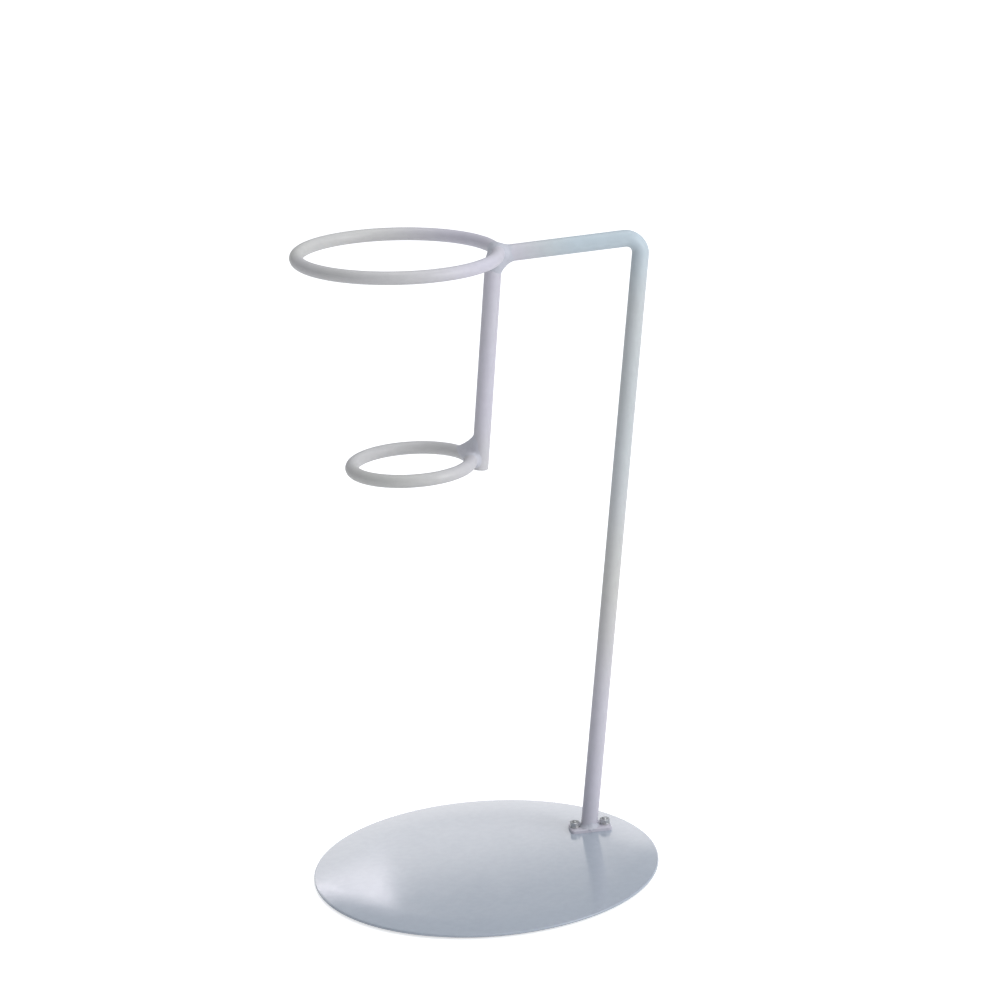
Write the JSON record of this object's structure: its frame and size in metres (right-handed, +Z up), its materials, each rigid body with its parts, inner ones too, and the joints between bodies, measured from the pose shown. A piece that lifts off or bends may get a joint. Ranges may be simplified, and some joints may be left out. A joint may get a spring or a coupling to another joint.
{
  "type": "hair dryer holder",
  "caption": "Free-standing salon hair dryer holder: a bent steel bar on a round plate carries a large wire ring for the barrel and a small one below for the nozzle.",
  "frame": {"origin": "centre of the round base on the surface that it stands on, at the underside of the anti-slip pad", "axes": "+Z up. +X from the rings towards the upright, along the arm. +Y towards the side where the bars and the rings stand, 33.5 mm off the centre of the base."},
  "size_m": [0.2032, 0.185, 0.3385],
  "materials": {
    "painted_steel": "satin powder coat, pale grey with a lilac cast",
    "painted_weld": "weld beads under the same powder coat, lumpy, satin",
    "zinc_steel": "bright zinc plate on small fasteners",
    "rubber_pad": "matt, fine pebbled grain"
  },
  "bodies": {
    "root": {"anti_slip_pad": "rubber_pad", "base_plate": "painted_steel", "foot_plate": "painted_steel", "upright_rod": "painted_steel", "drop_rod": "painted_steel", "upper_ring": "painted_steel", "lower_ring": "painted_steel", "foot_weld_front": "painted_weld", "foot_weld_rear": "painted_weld", "arm_weld_front": "painted_weld", "arm_weld_rear": "painted_weld", "drop_weld": "painted_weld", "ring_weld": "painted_weld", "foot_screw_inner": "zinc_steel", "foot_washer_inner": "zinc_steel", "foot_nut_inner": "zinc_steel", "foot_screw_outer": "zinc_steel", "foot_washer_outer": "zinc_steel", "foot_nut_outer": "zinc_steel"}
  },
  "joints": []
}
